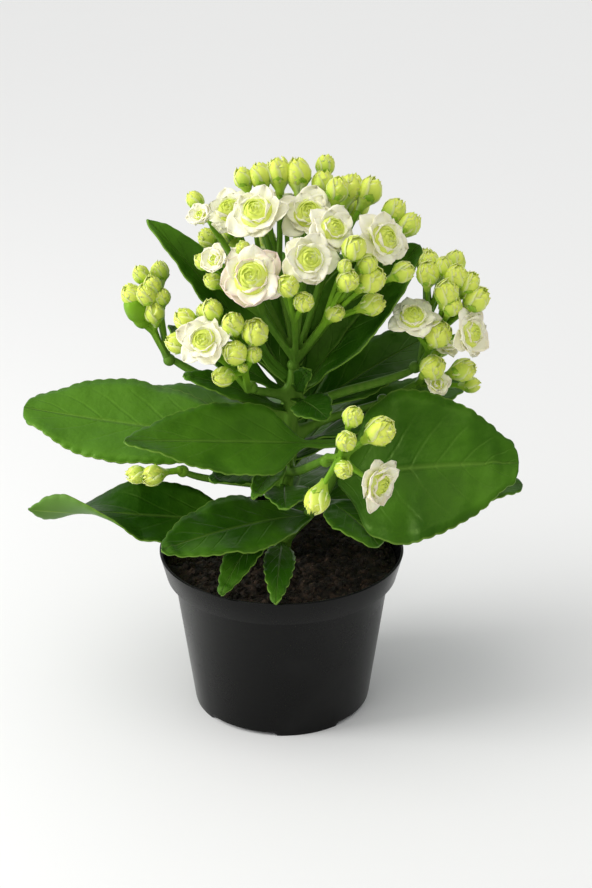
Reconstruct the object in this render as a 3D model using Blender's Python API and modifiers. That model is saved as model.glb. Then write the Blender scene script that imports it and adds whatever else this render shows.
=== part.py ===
"""Potted kalanchoe: a double-flowered plant in a round nursery pot.

Metres, +Z up. The origin is the centre of the pot's flat underside and the front faces -Y.
Tables are in millimetres, with plant heights measured above the soil line, and in degrees:
azimuth turns from +X towards +Y, so -90 is the front, and elevation rises from the horizontal.
"""
import math
from collections import namedtuple

import bmesh
import bpy
from mathutils import Matrix, Vector

MM = 0.001

# pot
POT_RIM_RADIUS = 52.5
POT_HEIGHT = 71.6
RIM_BAND_HEIGHT = 11.0
RIM_BAND_FLARE = 2.8
RIM_LEDGE = 3.2
POT_BASE_RADIUS = 38.0
POT_WALL = 1.2
POT_FLOOR = 3.2
POT_STEPS = 36
FOOT_WIDTH = 8.0
FOOT_HEIGHT = 2.0
NOTCH_HEIGHT = 1.6
NOTCH_SPAN = 44.0
NOTCH_AZIMUTHS = (62, 152, 242, 332)
LIP_ROUNDING = 0.3
FOOT_ROUNDING = 1.0
CUT_OVERSHOOT = 1.0
BASE_DISC_RADIUS = 24.0
DRAIN_HOLE_RADIUS = 2.0

# soil
SOIL_DROP = 6.0
SOIL_MOUND = 1.5
SOIL_STEPS = 24
MOUND_TOP_SHARE = 0.25
MOUND_SLOPE_SHARE = 0.6

# plant
CLEARANCE = 0.35
ROOT_DEPTH = 20.0
LEAF_THICKNESS = 1.6
LEAF_ROWS = 8
LEAF_COLUMNS = 2
ROW_CROWDING = 1.4
PETIOLE_WIDTH = 4.4
TIP_WIDTH = 1.6
BUD_SIDES = 8
BUD_RINGS = 4
BUD_LENGTH = 1.2
HUB_RADIUS = 1.5
PEDICEL_RADIUS = 0.85
SPRAY_RADIUS = 1.25
BLOOM_SIDES = 10
BLOOM_EYE = 5.0
BLOOM_FOOT_RADIUS = 1.3
BLOOM_CUP_HEIGHT = 2.2
BLOOM_CUP_SHARE = 0.60
BLOOM_LIP_HEIGHT = 3.8
BLOOM_DISH_HEIGHT = 4.2
BLOOM_DISH_SHARE = 0.52
BLOOM_HEART_SHARE = 0.42
BLOOM_HEART_RISE = 1.0
BLOOM_DOME_RISE = 1.8
STALK_BEND = 0.4
STALK_MIDDLE = 0.55
FORK_SHARE = 0.5

SOIL_LINE = POT_HEIGHT - SOIL_DROP

MATERIALS = {
    "pot_plastic": ((0.012, 0.013, 0.014), 0.42),
    "soil": ((0.020, 0.013, 0.009), 0.95),
    "stem_green": ((0.13, 0.30, 0.04), 0.50),
    "bud_green": ((0.48, 0.62, 0.12), 0.45),
    "petal_white": ((0.85, 0.84, 0.70), 0.55),
    "leaf_green": ((0.060, 0.190, 0.028), 0.38),
}

# every branch: its line of (x, y, height) points and its radius at each end
Branch = namedtuple("Branch", "line radii")
BRANCHES = {
    "trunk": Branch(((0, 0, -ROOT_DEPTH), (0, 0, 0), (1, 0, 30), (4, 0, 66), (6, 0, 90)), (3.8, 2.8)),
    "right_shoot": Branch(((1, -1, 12), (12, -7, 24), (22, -12, 42), (26, -14, 66)), (2.6, 2.0)),
    "left_far": Branch(((3, 0, 65), (-16, 3, 75), (-34, 5, 83), (-46, 5, 91)), (2.0, 1.5)),
    "left_mid": Branch(((5, 0, 76), (-4, -4, 79), (-12, -10, 83)), (2.0, 1.6)),
    "right": Branch(((4, 0, 68), (22, 1, 77), (44, 2, 82), (56, 3, 87)), (2.0, 1.5)),
    "right_lower": Branch(((4, 0, 58), (20, 4, 65), (36, 6, 68), (43, 6, 71)), (1.9, 1.5)),
    "front": Branch(((2, 0, 42), (6, -13, 47), (10, -27, 55), (18, -37, 64)), (1.9, 1.5)),
    "left_low": Branch(((1, 0, 34), (-18, -3, 38), (-34, -6, 41), (-41, -8, 45)), (1.7, 1.2)),
}

# a flower head: the point its buds point away from, and its sprays of buds and blooms
Head = namedtuple("Head", "focus sprays")
# bud: azimuth, elevation and reach from the focus, and its radius
Bud = namedtuple("Bud", "azimuth elevation reach radius")
# bloom: the same to its eye, its petals' radius, and where it faces (azimuth, elevation)
Bloom = namedtuple("Bloom", "name azimuth elevation reach radius faces")
HEADS = {
    "main": Head((7, 0, 106), (
        (Bloom("top_left", -149, 70, 57, 10.0, (-105, 42)), Bud(120, 76, 64, 5.0), Bud(140, 72, 64, 4.5),
         Bud(150, 67, 65, 3.8)),
        (Bloom("top", -54, 82, 52, 9.5, (-88, 45)), Bud(90, 78, 63, 5.2), Bud(50, 75, 60, 4.4),
         Bud(58, 72, 67, 3.7)),
        (Bloom("top_right", -56, 63, 56, 8.2, (-62, 40)), Bud(0, 75, 61, 4.4), Bud(28, 67, 61, 4.9),
         Bud(20, 61, 63, 4.9)),
        (Bloom("right", -24, 49, 58, 9.8, (-45, 28)), Bud(9, 51, 62, 4.5), Bud(5, 44, 62, 4.5),
         Bud(-22, 34, 54, 4.0)),
        (Bud(-52, 51, 56, 4.7), Bud(-60, 46, 52, 2.7), Bud(-45, 44, 53, 3.9), Bud(-58, 41, 48, 4.3),
         Bud(-42, 38, 49, 5.1), Bud(-30, 26, 38, 4.4), Bud(-51, 30, 27, 3.6)),
        (Bloom("front", -82, 52, 52, 9.2, (-80, 22)), Bud(-97, 42, 45, 4.3), Bud(-86, 36, 39, 3.9),
         Bud(-115, 56, 44, 3.1)),
        (Bloom("front_left", -119, 42, 51, 10.0, (-97, 30)), Bud(-133, 53, 52, 3.1), Bud(-151, 35, 47, 3.2),
         Bud(-157, 40, 53, 3.2)),
        (Bloom("left", 168, 60, 57, 8.8, (-115, 50)), Bloom("left_small", -143, 43, 56, 6.2, (-120, 35)),
         Bloom("left_end", -174, 52, 63, 5.6, (-130, 45)), Bud(169, 51, 67, 3.3)),
        (Bud(60, 60, 57, 4.8), Bud(45, 52, 56, 4.5), Bud(75, 50, 51, 4.5), Bud(60, 42, 48, 4.5),
         Bud(35, 42, 52, 4.2)),
        (Bloom("back", 100, 54, 54, 9.4, (95, 40)), Bud(86, 38, 44, 4.3), Bud(112, 38, 45, 4.0)),
        (Bud(130, 56, 55, 4.6), Bud(152, 55, 57, 4.3), Bud(142, 43, 49, 4.5), Bud(162, 42, 51, 4.2)),
    )),
    "left_far": Head((-46, 5, 92), (
        (Bud(144, 83, 36, 3.7), Bud(-110, 76, 29, 3.4), Bud(-134, 75, 34, 3.7), Bud(-167, 73, 38, 3.4),
         Bud(120, 68, 32, 3.8)),
        (Bud(-136, 68, 32, 4.1), Bud(-125, 66, 24, 4.1), Bud(-154, 61, 33, 4.1), Bud(-149, 57, 28, 4.8),
         Bud(-151, 54, 22, 2.9), Bud(165, 58, 30, 3.8)),
    )),
    "left_mid": Head((-12, -10, 84), (
        (Bloom("left_mid", -129, 45, 42, 8.4, (-102, 34)), Bud(-136, 62, 44, 4.0), Bud(-150, 60, 42, 3.2),
         Bud(-155, 50, 44, 4.4), Bud(-160, 37, 39, 4.0)),
        (Bud(-108, 59, 41, 4.3), Bud(-84, 58, 37, 5.1), Bud(-86, 48, 30, 3.2), Bud(-105, 46, 33, 4.7),
         Bud(-102, 44, 21, 2.0), Bud(-125, 30, 22, 4.0)),
    )),
    "right": Head((56, 3, 88), (
        (Bud(-45, 83, 47, 4.1), Bud(-71, 77, 45, 4.5), Bud(-41, 75, 48, 3.6), Bud(70, 76, 44, 4.2),
         Bud(20, 70, 46, 4.4)),
        (Bud(-39, 67, 47, 4.4), Bud(-55, 64, 42, 4.8), Bud(-28, 61, 46, 4.1), Bud(-50, 58, 38, 3.8),
         Bud(-26, 53, 42, 4.9)),
        (Bloom("right_upper", -100, 63, 31, 8.2, (-90, 58)), Bloom("right_side", -37, 38, 34, 9.4, (-38, 18)),
         Bud(-60, 51, 25, 5.2)),
    )),
    "right_lower": Head((44, 6, 72), (
        (Bloom("right_behind", -4, 46, 35, 6.0, (-50, 60)),
         Bloom("right_shaded", -31, 27, 27, 5.5, (-75, 30)), Bud(-40, 41, 31, 4.9), Bud(-14, 27, 36, 4.6),
         Bud(-6, 13, 36, 3.3), Bud(20, 40, 32, 4.2)),
    )),
    "front": Head((19, -38, 65), (
        (Bloom("front_low", -46, -4, 29, 9.4, (-45, -2)), Bud(-62, 52, 32, 3.9), Bud(-72, 37, 27, 3.9),
         Bud(-42, 36, 33, 5.5), Bud(-75, 12, 23, 3.5), Bud(-107, -38, 19, 4.8)),
    )),
    "left_low": Head((-42, -8, 46), (
        (Bud(-160, 2, 19, 3.7), Bud(-149, 2, 13, 4.2)),
    )),
}

# a leaf: the branch and height it grows from, its tip, its blade's width, where its upper face
# looks at mid length, how far it arches, how steeply its halves fold up, its turn to the tip, the
# share of its length that is petiole and how near the blade's widest place is to its base
Leaf = namedtuple("Leaf", "branch height tip width faces arch fold twist neck shoulder", defaults=(0.85,))
LEAVES = {
    "right_big": Leaf("right_shoot", 46, (97, -28, 58), 66, (-88, 38), 5, 8, 0, 0.04, 0.66),
    "right_behind": Leaf("trunk", 24, (103, 4, 33), 38, (-70, 72), 6, 10, 0, 0.16),
    "right_dark": Leaf("trunk", 54, (68, 6, 72.5), 18, (-90, 80), 1, 4, 0, 0.16),
    "right_back": Leaf("trunk", 47, (80, 32, 69), 28, (-100, 68), 3, 10, 0, 0.16),
    "right_upright": Leaf("trunk", 80, (57, 8, 139), 38, (-125, 20), 3, 32, 0, 0.12),
    "right_inner": Leaf("trunk", 75, (44, 36, 112), 20, (-120, 45), 3, 15, 0, 0.16),
    "left_upright": Leaf("trunk", 84, (-54, 5, 151), 21, (-60, 15), 3, 38, 40, 0.16),
    "left_inner": Leaf("trunk", 76, (-48, 24, 98), 14, (-100, 60), 2, 10, 0, 0.16),
    "left_top": Leaf("trunk", 55, (-110, 18, 63), 46, (-90, 62), -2, 8, 0, 0.16, 1.0),
    "left_pale": Leaf("trunk", 49, (-62, 46, 60), 28, (-70, 66), 3, 8, 0, 0.16),
    "left_bottom": Leaf("trunk", 17, (-106, -15, 31), 34, (-90, 62), 0, 8, 15, 0.16),
    "left_cover": Leaf("trunk", 69.5, (-40, -12, 90), 13, (-110, 58), 3, 12, 0, 0.16),
    "left_bright": Leaf("trunk", 59, (-38, -28, 72), 16, (-100, 60), 2, 12, 0, 0.16),
    "front_left": Leaf("right_shoot", 60, (-62, -45, 75), 35, (-95, 50), 1, 10, 0, 0.17, 0.64),
    "front_top": Leaf("trunk", 75.5, (19, -25, 76), 17, (-80, 45), 2, 10, 0, 0.16),
    "front_low": Leaf("right_shoot", 24, (-48, -50, 29), 32, (-88, 66), 3, 8, 0, 0.06),
    "front_small": Leaf("trunk", 42, (-29, -28, 50), 16, (-100, 60), 2, 10, 0, 0.16),
    "front_dark": Leaf("trunk", 36, (2, -38, 42), 20, (-90, 50), 2, 12, 0, 0.16),
    "front_right": Leaf("right_shoot", 34, (40, -40, 26), 24, (-60, 50), 3, 10, 0, 0.10),
    "front_yellow": Leaf("trunk", 49, (-11, -43, 49), 11, (-90, 50), 2, 10, 0, 0.16),
    "front_inner": Leaf("trunk", 81, (12, -18, 95), 9, (-90, 30), 1, 15, 0, 0.16),
    "back_right": Leaf("trunk", 44, (50, 70, 50), 46, (60, 70), 8, 8, 0, 0.16),
    "back_middle": Leaf("trunk", 36, (-12, 90, 42), 46, (95, 72), 8, 8, 0, 0.16),
    "back_left": Leaf("trunk", 32, (-72, 56, 42), 42, (140, 70), 8, 8, 0, 0.16),
    "back_right_low": Leaf("trunk", 18, (78, 46, 26), 40, (30, 72), 6, 8, 0, 0.16),
    "back_low": Leaf("trunk", 12, (14, 70, 18), 34, (80, 75), 5, 8, 0, 0.16),
    "back_left_up": Leaf("trunk", 82, (-30, 34, 122), 30, (-65, 25), 4, 15, 0, 0.12),
    "back_upright": Leaf("trunk", 68, (-7, 51.5, 126), 32, (-93, 25), 4, 12, 0, 0.16),
    "back_right_up": Leaf("trunk", 57, (36, 58, 88), 32, (-105, 45), 4, 15, 0, 0.16),
    "upper_right": Leaf("trunk", 89.5, (28, 46, 122), 28, (-100, 22), 3, 12, 0, 0.20),
    "right_middle": Leaf("trunk", 66, (68, 34, 92), 26, (-105, 52), 3, 12, 0, 0.14),
}

# the leaves that hang over the pot's rim: as above, with the tip as azimuth, reach beyond the rim
# and height over the rim
RIM_LEAVES = {
    "rim_left": Leaf("trunk", 25, (-115, 5, 4), 15, (-100, 62), 5, 8, 0, 0.16),
    "rim_front": Leaf("trunk", 9, (-92, 7, 4), 13, (-85, 62), 6, 8, 0, 0.16),
}


def direction(azimuth, elevation):
    """Unit vector at an azimuth and elevation in degrees."""
    a = math.radians(azimuth)
    e = math.radians(elevation)
    return Vector((math.cos(a) * math.cos(e), math.sin(a) * math.cos(e), math.sin(e)))


def above_soil(point):
    """World place, in metres, of a point given in mm above the soil line."""
    x, y, height = point
    return Vector((x, y, height + SOIL_LINE)) * MM


def material(slot):
    """Principled material of a slot, made on first use."""
    found = bpy.data.materials.get(slot)
    if found:
        return found
    colour, roughness = MATERIALS[slot]
    made = bpy.data.materials.new(slot)
    made.use_nodes = True
    shader = made.node_tree.nodes["Principled BSDF"]
    shader.inputs["Base Color"].default_value = (*colour, 1.0)
    shader.inputs["Roughness"].default_value = roughness
    shader.inputs["Metallic"].default_value = 0.0
    return made


def add_object(name, mesh, collection, slot=None):
    """Object of a mesh in a collection, with its material."""
    made = bpy.data.objects.new(name, mesh)
    collection.objects.link(made)
    if slot:
        mesh.materials.clear()
        mesh.materials.append(material(slot))
    return made


def mesh_from(bm, name):
    """Mesh of a bmesh with its faces turned outwards."""
    bmesh.ops.recalc_face_normals(bm, faces=bm.faces[:])
    mesh = bpy.data.meshes.new(name)
    bm.to_mesh(mesh)
    bm.free()
    return mesh


def add_cutter(name, bm):
    """Object that only cuts, kept out of the render."""
    cutter = add_object(name, mesh_from(bm, name), CUTTERS)
    cutter.display_type = "WIRE"
    cutter.hide_render = True
    return cutter


def boolean(target, tool, operation, use_self=False):
    """Exact Boolean of two objects, kept as a modifier."""
    modifier = target.modifiers.new(tool.name, "BOOLEAN")
    modifier.operation = operation
    modifier.solver = "EXACT"
    modifier.use_self = use_self
    modifier.object = tool


def lathe(profile, steps):
    """Bmesh of an (r, z) profile in mm, from axis to axis, turned about Z."""
    bm = bmesh.new()
    line = [bm.verts.new((r * MM, 0, z * MM)) for r, z in profile]
    edges = [bm.edges.new(pair) for pair in zip(line, line[1:])]
    bmesh.ops.spin(
        bm, geom=line + edges, axis=(0, 0, 1), cent=(0, 0, 0), angle=math.tau, steps=steps,
        use_duplicate=False,
    )
    bmesh.ops.remove_doubles(bm, verts=bm.verts[:], dist=0.01 * MM)
    return bm


def inner_wall():
    """Inside of the pot from the floor's corner to the rim's lip, as (r, z)."""
    band_foot = POT_HEIGHT - RIM_BAND_HEIGHT
    band_foot_radius = POT_RIM_RADIUS - RIM_BAND_FLARE
    return [
        (POT_BASE_RADIUS - POT_WALL, POT_FLOOR),
        (band_foot_radius - RIM_LEDGE - POT_WALL, band_foot - POT_WALL / 2),
        (band_foot_radius - POT_WALL, band_foot + POT_WALL),
        (POT_RIM_RADIUS - POT_WALL, POT_HEIGHT - LIP_ROUNDING),
    ]


def make_pot():
    """Round nursery pot with a rim band, a raised groove, foot notches and drain holes."""
    band_foot = POT_HEIGHT - RIM_BAND_HEIGHT
    band_foot_radius = POT_RIM_RADIUS - RIM_BAND_FLARE
    foot_inner = POT_BASE_RADIUS - FOOT_WIDTH
    profile = [
        (0, POT_FLOOR),
        *inner_wall(),
        (POT_RIM_RADIUS - POT_WALL + LIP_ROUNDING, POT_HEIGHT),
        (POT_RIM_RADIUS - LIP_ROUNDING, POT_HEIGHT),
        (POT_RIM_RADIUS, POT_HEIGHT - LIP_ROUNDING),
        (band_foot_radius, band_foot),
        (band_foot_radius - RIM_LEDGE, band_foot),
        (POT_BASE_RADIUS + LIP_ROUNDING, FOOT_ROUNDING),
        (POT_BASE_RADIUS, 0),
        (foot_inner, 0),
        (foot_inner, FOOT_HEIGHT),
        (BASE_DISC_RADIUS + POT_WALL, FOOT_HEIGHT),
        (BASE_DISC_RADIUS, 0),
        (0, 0),
    ]
    pot = add_object("pot", mesh_from(lathe(profile, POT_STEPS), "pot"), PARTS, "pot_plastic")

    span = 2 * POT_BASE_RADIUS * math.sin(math.radians(NOTCH_SPAN / 2))
    notches = bmesh.new()
    drains = bmesh.new()
    for azimuth in NOTCH_AZIMUTHS:
        turn = Matrix.Rotation(math.radians(azimuth), 4, "Z")
        out = Matrix.Translation((POT_BASE_RADIUS * MM, 0, (NOTCH_HEIGHT - CUT_OVERSHOOT) / 2 * MM))
        size = Vector((2 * (FOOT_WIDTH - CUT_OVERSHOOT), span, NOTCH_HEIGHT + CUT_OVERSHOOT)) * MM
        bmesh.ops.create_cube(notches, size=1, matrix=turn @ out @ Matrix.Diagonal((*size, 1)))
        hole = Matrix.Translation(((BASE_DISC_RADIUS + foot_inner) / 2 * MM, 0, POT_FLOOR / 2 * MM))
        radius = DRAIN_HOLE_RADIUS * MM
        bmesh.ops.create_cone(
            drains, cap_ends=True, segments=10, radius1=radius, radius2=radius, depth=3 * POT_FLOOR * MM,
            matrix=turn @ hole,
        )
    boolean(pot, add_cutter("pot_notches", notches), "DIFFERENCE")
    boolean(pot, add_cutter("pot_drains", drains), "DIFFERENCE")


def make_soil():
    """Soil that fills the pot to below its rim, with a socket for the trunk."""
    corner, ledge_low, ledge_high, lip = [Vector(point) for point in inner_wall()]
    share = (SOIL_LINE - ledge_high.y) / (lip.y - ledge_high.y)
    shore = ledge_high.lerp(lip, share)
    gap = Vector((-CLEARANCE, CLEARANCE))
    profile = [
        (0, POT_FLOOR + CLEARANCE),
        corner + gap,
        ledge_low + gap,
        ledge_high + gap,
        (shore.x - CLEARANCE, SOIL_LINE),
        (MOUND_SLOPE_SHARE * shore.x, SOIL_LINE + MOUND_SLOPE_SHARE * SOIL_MOUND),
        (MOUND_TOP_SHARE * shore.x, SOIL_LINE + SOIL_MOUND),
        (0, SOIL_LINE + SOIL_MOUND),
    ]
    soil = add_object("soil", mesh_from(lathe(profile, SOIL_STEPS), "soil"), PARTS, "soil")
    radius = (BRANCHES["trunk"].radii[0] + CLEARANCE) * MM
    depth = (ROOT_DEPTH + CLEARANCE) * MM
    socket = bmesh.new()
    bmesh.ops.create_cone(
        socket, cap_ends=True, segments=16, radius1=radius, radius2=radius, depth=2 * depth,
        matrix=Matrix.Translation((0, 0, SOIL_LINE * MM)),
    )
    boolean(soil, add_cutter("soil_socket", socket), "DIFFERENCE")


def tubes(lines, sides):
    """Bmesh of closed tubes, one for each list of (point, radius), as bevelled curves."""
    curve = bpy.data.curves.new("tubes", "CURVE")
    curve.dimensions = "3D"
    curve.bevel_depth = 1.0
    curve.bevel_resolution = (sides - 4) // 2
    curve.use_fill_caps = True
    for line in lines:
        spline = curve.splines.new("POLY")
        spline.points.add(len(line) - 1)
        for knot, (point, radius) in zip(spline.points, line):
            knot.co = (*point, 1)
            knot.radius = radius
    holder = bpy.data.objects.new("tubes", curve)
    PARTS.objects.link(holder)
    evaluated = holder.evaluated_get(bpy.context.evaluated_depsgraph_get())
    mesh = bpy.data.meshes.new_from_object(evaluated)
    bm = bmesh.new()
    bm.from_mesh(mesh)
    bpy.data.objects.remove(holder)
    bpy.data.meshes.remove(mesh)
    bmesh.ops.remove_doubles(bm, verts=bm.verts[:], dist=0.001 * MM)
    return bm


def fuse(name, shells, core, slot):
    """One solid of many overlapping closed shells and a core that they share."""
    solid = add_object(name, mesh_from(shells, name), PARTS, slot)
    boolean(solid, add_cutter(name + "_core", core), "UNION", use_self=True)
    return solid


def branch_line(name):
    """Smooth line of a branch as (point, radius) pairs, in metres."""
    branch = BRANCHES[name]
    places = [above_soil(point) for point in branch.line]
    radii = [
        (branch.radii[0] + (branch.radii[1] - branch.radii[0]) * i / (len(places) - 1)) * MM
        for i in range(len(places))
    ]
    return list(zip(places, radii))


def make_stem():
    """Trunk with its side branches, one solid."""
    shells = tubes([branch_line(name) for name in BRANCHES if name != "trunk"], 8)
    fuse("stem", shells, tubes([branch_line("trunk")], 10), "stem_green")


def stem_at(name, height):
    """Centre, axis and radius of a branch at a height above the soil, in metres."""
    level = (height + SOIL_LINE) * MM
    line = branch_line(name)
    for (low, low_radius), (high, high_radius) in zip(line, line[1:]):
        if low.z <= level <= high.z:
            share = (level - low.z) / (high.z - low.z)
            radius = low_radius + share * (high_radius - low_radius)
            return low.lerp(high, share), (high - low).normalized(), radius
    raise ValueError(f"{name} does not reach {height}")


def hub_of(name):
    """Centre of a head's hub, just beyond the end of its branch, in metres."""
    line = branch_line("trunk" if name == "main" else name)
    (before, _), (end, _) = line[-2:]
    return end + (end - before).normalized() * (HUB_RADIUS + CLEARANCE) * MM


def bloom_axis(bloom):
    """Unit vector along which a bloom faces."""
    return direction(*bloom.faces)


def stalk(start, end, arrive, radii):
    """Tube line of two spans that leaves start straight and meets end along arrive."""
    bend = end - arrive * (end - start).length * STALK_BEND
    line = []
    for t in (0, STALK_MIDDLE, 1):
        point = start * (1 - t) ** 2 + bend * 2 * t * (1 - t) + end * t ** 2
        line.append((point, (radii[0] + (radii[1] - radii[0]) * t) * MM))
    return line


def item_place(focus, item):
    """Centre of a bud, or the eye of a bloom."""
    return focus + direction(item.azimuth, item.elevation) * item.reach * MM


def make_head(name, head):
    """Stalks and buds of a head, one solid."""
    hub = hub_of(name)
    focus = above_soil(head.focus)
    lines = []
    buds = bmesh.new()
    for spray in head.sprays:
        places = [item_place(focus, item) for item in spray]
        middle = sum(places, Vector()) / len(places)
        fork = hub.lerp(middle, FORK_SHARE)
        lines.append(stalk(hub, fork, (middle - hub).normalized(), (SPRAY_RADIUS, SPRAY_RADIUS)))
        for item, place in zip(spray, places):
            if isinstance(item, Bloom):
                axis = bloom_axis(item)
                end = place - axis * (BLOOM_EYE + CLEARANCE) * MM
            else:
                axis = ((place - fork).normalized() + (place - focus).normalized()).normalized()
                end = place - axis * item.radius * 0.5 * MM
                turn = axis.to_track_quat("Z", "Y").to_matrix().to_4x4()
                size = item.radius * MM
                bmesh.ops.create_uvsphere(
                    buds, u_segments=BUD_SIDES, v_segments=BUD_RINGS, radius=size,
                    matrix=Matrix.Translation(place) @ turn @ Matrix.Diagonal((1, 1, BUD_LENGTH, 1)),
                )
            lines.append(stalk(fork, end, axis, (SPRAY_RADIUS, PEDICEL_RADIUS)))
    shells = tubes(lines, 4)
    spare = mesh_from(buds, name)
    shells.from_mesh(spare)
    bpy.data.meshes.remove(spare)
    core = bmesh.new()
    bmesh.ops.create_uvsphere(
        core, u_segments=8, v_segments=6, radius=HUB_RADIUS * MM, matrix=Matrix.Translation(hub)
    )
    fuse("head_" + name, shells, core, "bud_green")


def make_bloom(bloom, focus):
    """Open double flower: a dish of petals with a domed rosette, facing its own way."""
    radius = bloom.radius
    profile = [
        (0, 0),
        (BLOOM_FOOT_RADIUS, 0),
        (BLOOM_CUP_SHARE * radius, BLOOM_CUP_HEIGHT),
        (radius, BLOOM_LIP_HEIGHT),
        (BLOOM_DISH_SHARE * radius, BLOOM_DISH_HEIGHT),
        (BLOOM_HEART_SHARE * radius, BLOOM_EYE + BLOOM_HEART_RISE),
        (0, BLOOM_EYE + BLOOM_DOME_RISE),
    ]
    bm = lathe(profile, BLOOM_SIDES)
    axis = bloom_axis(bloom)
    place = item_place(focus, bloom) - axis * BLOOM_EYE * MM
    turn = axis.to_track_quat("Z", "Y").to_matrix().to_4x4()
    bmesh.ops.transform(bm, matrix=Matrix.Translation(place) @ turn, verts=bm.verts[:])
    add_object("flower_" + bloom.name, mesh_from(bm, bloom.name), PARTS, "petal_white")


def half_width(share, leaf):
    """Half the leaf's width at a share of its length: a narrow petiole, then an oval blade."""
    petiole = PETIOLE_WIDTH / 2
    if share <= leaf.neck:
        return petiole
    along = (share - leaf.neck) / (1 - leaf.neck)
    oval = math.sin(math.pi * along ** leaf.shoulder) ** 0.6 if along < 1 else 0.0
    return max(petiole * (1 - along), leaf.width / 2 * oval, TIP_WIDTH / 2)


def make_leaf(name, leaf, tip):
    """One leaf: a bowed, folded sheet thickened into a closed blade."""
    centre, grain, radius = stem_at(leaf.branch, leaf.height)
    out = tip - centre
    along = out.normalized()
    out = (out - grain * out.dot(grain)).normalized()
    face = direction(*leaf.faces)
    face = (face - along * face.dot(along)).normalized()
    end_reach = abs(face.cross(along).dot(out)) * PETIOLE_WIDTH / 2 + abs(face.dot(out)) * LEAF_THICKNESS / 2
    root = centre + out * (radius + (CLEARANCE + end_reach) * MM)
    bm = bmesh.new()
    bmesh.ops.create_grid(bm, x_segments=LEAF_ROWS, y_segments=LEAF_COLUMNS, size=0.5)
    for vert in bm.verts:
        share = 1 - (0.5 - vert.co.x) ** ROW_CROWDING
        side = 2 * vert.co.y
        up = Matrix.Rotation(math.radians(leaf.twist * (share - 0.5)), 3, along) @ face
        across = up.cross(along)
        half = half_width(share, leaf) * MM
        fold = math.radians(leaf.fold) * min(1, share / leaf.neck)
        spine = root.lerp(tip, share) + face * leaf.arch * MM * 4 * share * (1 - share)
        vert.co = spine + half * (across * side * math.cos(fold) + up * abs(side) * math.sin(fold))
    blade = add_object("leaf_" + name, mesh_from(bm, name), PARTS, "leaf_green")
    thicken = blade.modifiers.new("thickness", "SOLIDIFY")
    thicken.thickness = LEAF_THICKNESS * MM
    thicken.offset = 0.0


def rim_tip(leaf):
    """Tip of a leaf that hangs over the rim."""
    azimuth, beyond, over = leaf.tip
    flat = direction(azimuth, 0) * (POT_RIM_RADIUS + beyond)
    return Vector((flat.x, flat.y, POT_HEIGHT + over)) * MM


def new_collection(name):
    """Collection linked to the scene."""
    made = bpy.data.collections.new(name)
    bpy.context.scene.collection.children.link(made)
    return made


for old in list(bpy.data.objects):
    bpy.data.objects.remove(old)
PARTS = new_collection("potted_kalanchoe")
CUTTERS = new_collection("cutters")

make_pot()
make_soil()
make_stem()
for head_name, head_plan in HEADS.items():
    make_head(head_name, head_plan)
    for spray_plan in head_plan.sprays:
        for entry in spray_plan:
            if isinstance(entry, Bloom):
                make_bloom(entry, above_soil(head_plan.focus))
for leaf_name, leaf_plan in LEAVES.items():
    make_leaf(leaf_name, leaf_plan, above_soil(leaf_plan.tip))
for leaf_name, leaf_plan in RIM_LEAVES.items():
    make_leaf(leaf_name, leaf_plan, rim_tip(leaf_plan))
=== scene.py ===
"""Fine pieces of a double-flowered kalanchoe in its nursery pot.

Every piece is built on the frame: buds, flowers and leaves are measured from its nodes, and the pot
and the soil are turned from the nodes' own outlines. Metres, +Z up, the front faces -Y.
"""
import math
import random
from typing import NamedTuple

import bmesh
import bpy
import numpy as np
from bpy.props import FloatProperty, FloatVectorProperty, IntProperty, PointerProperty
from mathutils import Matrix, Quaternion, Vector, noise
from mathutils.bvhtree import BVHTree


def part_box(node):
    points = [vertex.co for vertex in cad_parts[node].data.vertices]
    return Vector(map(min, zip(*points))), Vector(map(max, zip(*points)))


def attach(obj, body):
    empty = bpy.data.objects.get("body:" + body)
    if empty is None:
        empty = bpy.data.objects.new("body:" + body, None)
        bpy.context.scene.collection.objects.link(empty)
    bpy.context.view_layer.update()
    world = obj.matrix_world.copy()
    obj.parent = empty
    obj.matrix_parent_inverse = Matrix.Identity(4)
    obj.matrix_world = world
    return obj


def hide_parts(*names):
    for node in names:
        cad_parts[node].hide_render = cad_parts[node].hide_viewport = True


bl_info = {
    "name": "Potted kalanchoe",
    "version": (1, 0, 0),
    "blender": (4, 5, 0),
    "location": "3D View > Sidebar > Plant",
    "description": "Builds the fine pieces of a double-flowered kalanchoe in its nursery pot",
    "category": "Add Mesh",
}

MM = 0.001
GOLDEN_ANGLE = math.radians(137.5)

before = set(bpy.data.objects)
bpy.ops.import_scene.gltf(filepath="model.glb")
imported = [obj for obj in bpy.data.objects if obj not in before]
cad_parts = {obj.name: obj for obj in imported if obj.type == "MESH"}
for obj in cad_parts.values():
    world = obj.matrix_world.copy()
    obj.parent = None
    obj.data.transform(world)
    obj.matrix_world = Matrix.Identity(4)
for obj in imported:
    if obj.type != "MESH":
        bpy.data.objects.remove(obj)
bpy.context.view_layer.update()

# proportions of the frame's buds and flowers, which the fine pieces are measured with
BUD_LENGTH = 1.2
BUD_RING = math.sin(math.pi / 4)
EYE_RING = 0.42
EYE_DEPTH = 1.8 * MM

# tint of what green skins reflect
GREEN_SHEEN = (0.50, 0.80, 0.16, 1.0)

# pot: the rounding of its edges, the part of its foot that the notches cut, and how finely and
# how far apart its drain holes are looked for
EDGE_ROUNDING = 0.35 * MM
EDGE_ANGLE = math.radians(35)
SHARP_ANGLE = math.radians(40)
FOOT_HEIGHT = 3 * MM
NOTCH_HEIGHT = 1.5 * MM
HOLE_STEP = 0.3 * MM
HOLE_SPACING = 6 * MM

# soil: steps round it, the depth of its loose top, and the height and fineness of its lumps
SOIL_STEPS = 120
SOIL_TOP = 2.5 * MM
LUMP_HEIGHT = 1.6 * MM
LUMP_SCALE = 140

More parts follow.
